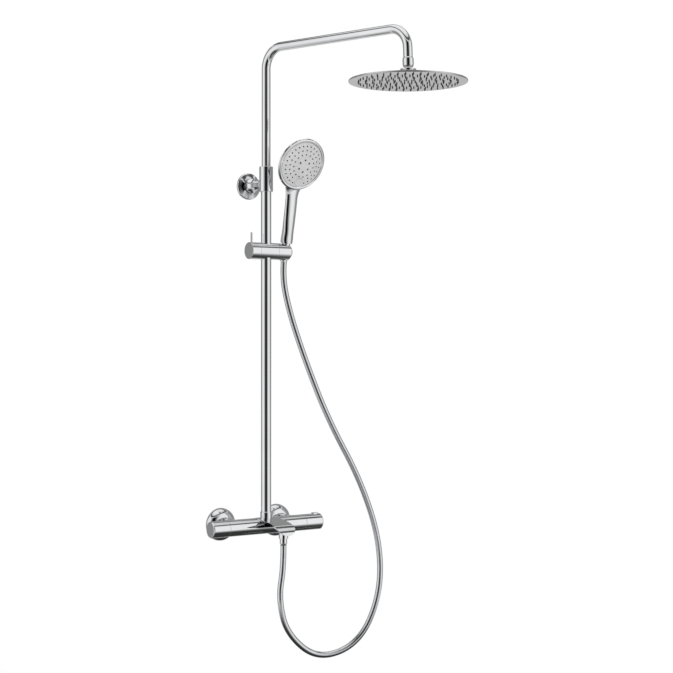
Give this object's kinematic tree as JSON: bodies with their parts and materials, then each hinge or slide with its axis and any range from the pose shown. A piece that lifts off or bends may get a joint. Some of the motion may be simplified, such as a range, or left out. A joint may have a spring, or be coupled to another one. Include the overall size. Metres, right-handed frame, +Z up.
{
  "type": "rainfall shower column",
  "caption": "Chrome thermostatic bath shower column with a bar mixer, bath spout, telescopic riser, round overhead rain head and a hand shower on a slider with its hose.",
  "frame": {"origin": "on the wall face, midway between the two water inlets, at the height of the mixer axis", "axes": "+X along the wall to the right as seen from the room, +Y into the wall, +Z up"},
  "size_m": [0.4306, 0.6446, 1.4071],
  "materials": {
    "chrome": "polished chrome plate",
    "head_steel": "polished stainless sheet, satin underside",
    "chromed_plastic": "polished chrome plate on plastic",
    "face_grey": "satin light grey",
    "brass": "machined brass",
    "steel": "zinc plated",
    "white_plastic": "moulded",
    "rubber": "matt",
    "nozzle_rubber": "matt dark silicone",
    "hose_skin": "smooth silver grey"
  },
  "bodies": {
    "column": {"inlet_union_left": "chrome", "inlet_union_right": "chrome", "mixer_body": "chrome", "spout": "chrome", "riser_collar": "chrome", "riser_lower_tube": "chrome", "bracket_sleeve": "chrome", "bracket_stem": "chrome", "bracket_flange": "chrome", "wall_rosette_left": "chrome", "wall_rosette_right": "chrome", "inlet_nut_left": "chrome", "inlet_nut_right": "chrome", "hose_nut": "chrome", "hose_ferrule": "chrome", "hose_nipple": "chrome", "bracket_wall_plate": "steel", "wall_screws": "steel", "bracket_grub_screw": "steel", "flow_cartridge": "white_plastic", "thermostatic_cartridge": "white_plastic", "temperature_stop_ring": "white_plastic", "check_valves": "white_plastic", "spout_insert": "white_plastic", "inlet_filters": "rubber", "riser_seal": "rubber", "sleeve_gland": "rubber", "hose_seal": "rubber", "hose": "hose_skin"},
    "flow_handle": {"flow_handle": "chrome", "flow_handle_cap": "chrome", "flow_spindle": "brass"},
    "temperature_handle": {"temperature_handle": "chrome", "temperature_handle_cap": "chrome", "temperature_spindle": "brass"},
    "safety_button": {"safety_button": "chromed_plastic"},
    "telescope": {"telescope_bush": "white_plastic"},
    "arm": {"arm_tube": "chrome", "ball_nut": "chrome", "ball_seat": "rubber"},
    "head_ball": {"head_ball": "chrome"},
    "rain_head": {"head_collar": "chrome", "head_top_plate": "head_steel", "head_spray_plate": "head_steel", "head_nozzle_mat": "nozzle_rubber", "head_filter": "white_plastic"},
    "slider_bush": {"slider_bush": "white_plastic"},
    "slider": {"slider_body": "chromed_plastic"},
    "clamp_lever": {"lever_knob": "chromed_plastic", "lever_pin": "chrome"},
    "holder": {"shower_holder": "chromed_plastic"},
    "handset": {"handset_shell": "chromed_plastic", "handset_face": "face_grey", "handset_nozzle_mat": "nozzle_rubber", "handset_waterway": "white_plastic", "hose_cone_nut": "chrome"},
    "selector_button": {"selector_button": "face_grey"}
  },
  "joints": [
    {"name": "flow_turn", "type": "hinge", "parent": "column", "child": "flow_handle", "pos_m": [-0.12, -0.078, 0], "axis": [1, 0, 0], "range_deg": [-90, 90]},
    {"name": "temperature_turn", "type": "hinge", "parent": "column", "child": "temperature_handle", "pos_m": [0.12, -0.078, 0], "axis": [1, 0, 0], "range_deg": [-150, 60]},
    {"name": "safety_button_press", "type": "slide", "parent": "temperature_handle", "child": "safety_button", "axis": [0, 0, -1], "range_m": [0, 0.0012], "stiffness_N_per_m": 600},
    {"name": "riser_telescope", "type": "slide", "parent": "column", "child": "telescope", "axis": [0, 0, 1], "range_m": [-0.06, 0.2]},
    {"name": "arm_swivel", "type": "hinge", "parent": "telescope", "child": "arm", "pos_m": [0, -0.078, 1], "axis": [0, 0, 1], "range_deg": [-55, 30]},
    {"name": "head_tilt_fore_aft", "type": "hinge", "parent": "arm", "child": "head_ball", "pos_m": [0.09541, -0.48163, 0.99779], "axis": [0.9732, 0.23, 0], "range_deg": [-8, 8]},
    {"name": "head_tilt_sideways", "type": "hinge", "parent": "head_ball", "child": "rain_head", "pos_m": [0.09541, -0.48163, 0.99779], "axis": [-0.23, 0.9732, 0], "range_deg": [-8, 8]},
    {"name": "slider_travel", "type": "slide", "parent": "column", "child": "slider_bush", "axis": [0, 0, 1], "range_m": [-0.5, 0.07], "deforming": ["hose"]},
    {"name": "slider_swivel", "type": "hinge", "parent": "slider_bush", "child": "slider", "pos_m": [0, -0.078, 0.6226], "axis": [0, 0, 1], "range_deg": [-30, 30]},
    {"name": "clamp_lever_turn", "type": "hinge", "parent": "slider", "child": "clamp_lever", "pos_m": [0, -0.078, 0.6226], "axis": [1, 0, 0], "range_deg": [0, 60]},
    {"name": "holder_tilt", "type": "hinge", "parent": "slider", "child": "holder", "pos_m": [0, -0.078, 0.6226], "axis": [1, 0, 0], "range_deg": [-5, 35]},
    {"name": "handset_lift", "type": "slide", "parent": "holder", "child": "handset", "axis": [0, -0.2672, 0.9636], "range_m": [0, 0.05]},
    {"name": "selector_press", "type": "slide", "parent": "handset", "child": "selector_button", "axis": [-0.0316, 0.7568, 0.6528], "range_m": [0, 0.001], "stiffness_N_per_m": 500}
  ]
}
